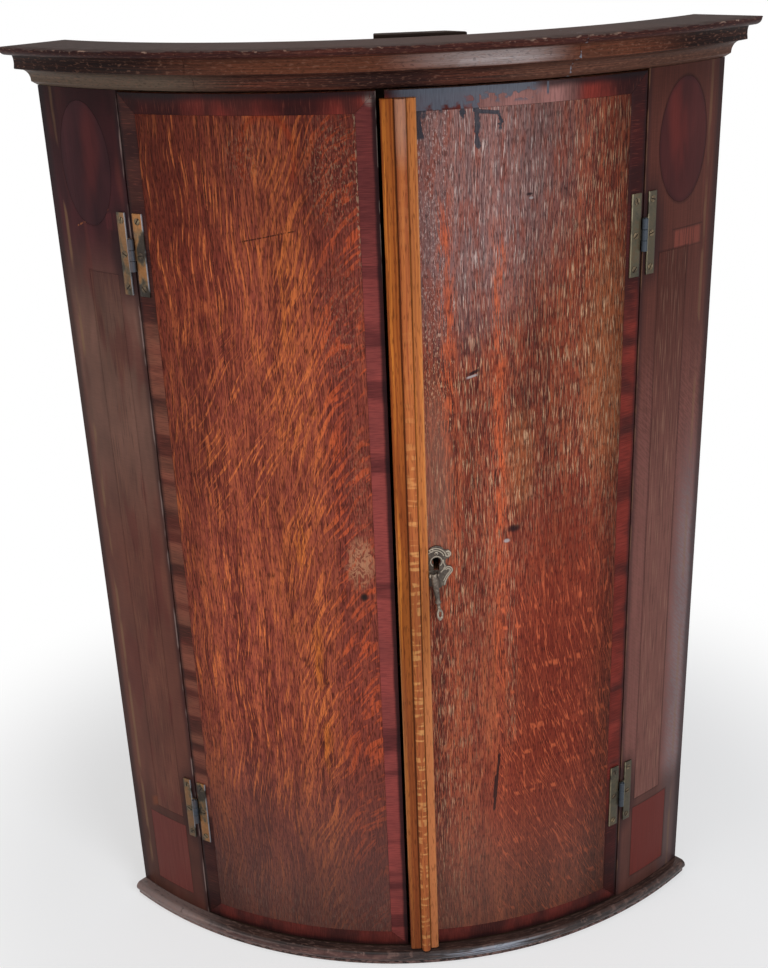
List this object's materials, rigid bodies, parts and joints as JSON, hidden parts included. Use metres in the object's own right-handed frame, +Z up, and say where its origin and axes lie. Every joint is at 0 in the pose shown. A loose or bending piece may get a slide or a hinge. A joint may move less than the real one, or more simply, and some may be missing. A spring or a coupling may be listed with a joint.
{
  "type": "corner cupboard",
  "caption": "Bow-fronted corner cupboard with curved oak doors, crossbanded edges, inlaid stiles, brass H-hinges, a moulded cornice, shelves, lock and slide bolts.",
  "frame": {"origin": "under the middle of the overall outline, on the plane that the base stands on", "axes": "+Z up, the curved front looks along -Y, +X to the right of someone facing the doors"},
  "size_m": [0.6732, 0.446, 0.952],
  "materials": {
    "door_oak": "old waxed quarter-sawn oak",
    "strip_oak": "golden waxed oak",
    "band_mahogany": "dark crossbanding, waxed",
    "stile_mahogany": "dark veneer, waxed",
    "inlay_wood": "inlaid veneer, waxed",
    "cornice_wood": "dark moulding, waxed",
    "board_pine": "unfinished old pine",
    "hinge_brass": "aged brass",
    "plate_brass": "aged cast brass",
    "lock_iron": "dull iron"
  },
  "bodies": {
    "carcass": {"corner_board": "board_pine", "left_rear_plank": "board_pine", "left_front_plank": "board_pine", "right_rear_plank": "board_pine", "right_front_plank": "board_pine", "top_board": "board_pine", "bottom_board": "board_pine", "shelf_1": "board_pine", "shelf_2": "board_pine", "top_cleat": "board_pine", "left_stile": "stile_mahogany", "left_stile_oval": "inlay_wood", "left_stile_tall_panel": "inlay_wood", "left_stile_lower_panel": "inlay_wood", "right_stile": "stile_mahogany", "right_stile_oval": "inlay_wood", "right_stile_tall_panel": "inlay_wood", "right_stile_lower_panel": "inlay_wood", "cornice_left": "cornice_wood", "cornice_middle": "cornice_wood", "cornice_right": "cornice_wood", "base_moulding": "cornice_wood", "left_upper_stile_leaf": "hinge_brass", "left_upper_hinge_pin": "hinge_brass", "left_lower_stile_leaf": "hinge_brass", "left_lower_hinge_pin": "hinge_brass", "right_upper_stile_leaf": "hinge_brass", "right_upper_hinge_pin": "hinge_brass", "right_lower_stile_leaf": "hinge_brass", "right_lower_hinge_pin": "hinge_brass"},
    "left_door": {"left_door_core": "door_oak", "left_door_top_band": "band_mahogany", "left_door_bottom_band": "band_mahogany", "left_door_hinge_band": "band_mahogany", "left_door_meeting_band": "band_mahogany", "left_upper_door_leaf": "hinge_brass", "left_lower_door_leaf": "hinge_brass", "upper_bolt_plate": "lock_iron", "lower_bolt_plate": "lock_iron"},
    "right_door": {"right_door_core": "door_oak", "right_door_top_band": "band_mahogany", "right_door_bottom_band": "band_mahogany", "right_door_hinge_band": "band_mahogany", "cover_strip": "strip_oak", "right_upper_door_leaf": "hinge_brass", "right_lower_door_leaf": "hinge_brass", "keyhole_plate": "plate_brass", "keyhole_plate_upper_pin": "plate_brass", "keyhole_plate_lower_pin": "plate_brass", "pull_bracket": "plate_brass", "lock_case": "lock_iron"},
    "upper_bolt": {"upper_bolt": "lock_iron"},
    "lower_bolt": {"lower_bolt": "lock_iron"},
    "lock_bolt": {"lock_bolt": "lock_iron"},
    "drop_pull": {"drop_pull": "plate_brass"}
  },
  "joints": [
    {"name": "left_door_hinge", "type": "hinge", "parent": "carcass", "child": "left_door", "pos_m": [-0.23175, -0.12607, 0.466], "axis": [0, 0, -1], "range_deg": [0, 115]},
    {"name": "right_door_hinge", "type": "hinge", "parent": "carcass", "child": "right_door", "pos_m": [0.23175, -0.12607, 0.466], "axis": [0, 0, 1], "range_deg": [0, 115]},
    {"name": "upper_bolt_slide", "type": "slide", "parent": "left_door", "child": "upper_bolt", "axis": [0, 0, 1], "range_m": [0, 0.012]},
    {"name": "lower_bolt_slide", "type": "slide", "parent": "left_door", "child": "lower_bolt", "axis": [0, 0, -1], "range_m": [0, 0.012]},
    {"name": "lock_bolt_slide", "type": "slide", "parent": "right_door", "child": "lock_bolt", "axis": [-1, 0, 0], "range_m": [0, 0.014]},
    {"name": "drop_pull_swing", "type": "hinge", "parent": "right_door", "child": "drop_pull", "pos_m": [0.0315, -0.19429, 0.47], "axis": [-0.9975, -0.0702, 0], "range_deg": [0, 100]}
  ]
}
